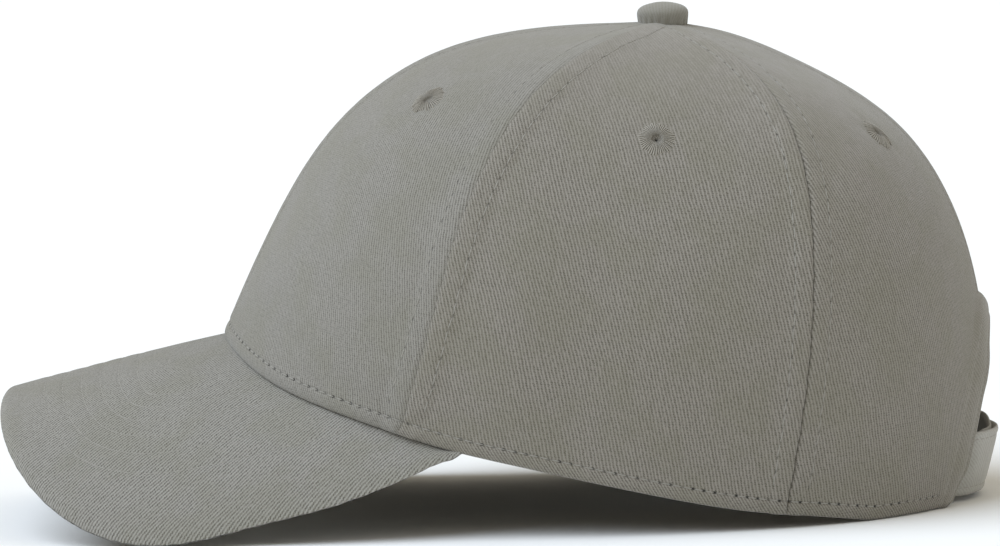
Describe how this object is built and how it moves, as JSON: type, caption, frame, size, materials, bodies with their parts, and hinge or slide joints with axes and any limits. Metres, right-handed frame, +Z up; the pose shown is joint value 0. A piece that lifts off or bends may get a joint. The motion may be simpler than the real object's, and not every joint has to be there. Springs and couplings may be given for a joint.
{
  "type": "six-panel cap",
  "caption": "Soft cotton twill cap: domed crown of seamed panels with stitched eyelets, curved peak, cloth-covered top button, and a self-fabric strap across an arched back opening.",
  "frame": {"origin": "middle of the foot of the whole cap's box, on the surface that the cap rests on with its back hem and the two low sides of its peak", "axes": "+Z up, +Y to the wearer's right, the peak points along -X and the strap lies at +X"},
  "size_m": [0.2734, 0.161, 0.1382],
  "materials": {
    "crown_twill": "washed warm grey cotton twill, matt, with a steep diagonal wale",
    "peak_twill": "the same twill drawn smooth over a stiffener, with faint rows of stitching",
    "strap_twill": "the same twill folded double and edge-stitched, a little smoother and lighter",
    "sweatband_twill": "plain matt grey cotton",
    "eyelet_thread": "close radial satin stitches in self-coloured thread, with a faint sheen"
  },
  "bodies": {
    "root": {"panel_front_left": "crown_twill", "panel_front_right": "crown_twill", "panel_side_left": "crown_twill", "panel_side_right": "crown_twill", "panel_back_left": "crown_twill", "panel_back_right": "crown_twill", "eyelet_front_left": "eyelet_thread", "eyelet_front_right": "eyelet_thread", "eyelet_side_left": "eyelet_thread", "eyelet_side_right": "eyelet_thread", "eyelet_back_left": "eyelet_thread", "eyelet_back_right": "eyelet_thread", "peak": "peak_twill", "top_button": "crown_twill", "opening_border": "strap_twill", "sweatband": "sweatband_twill", "strap_outer": "strap_twill", "strap_inner": "strap_twill"}
  },
  "joints": []
}
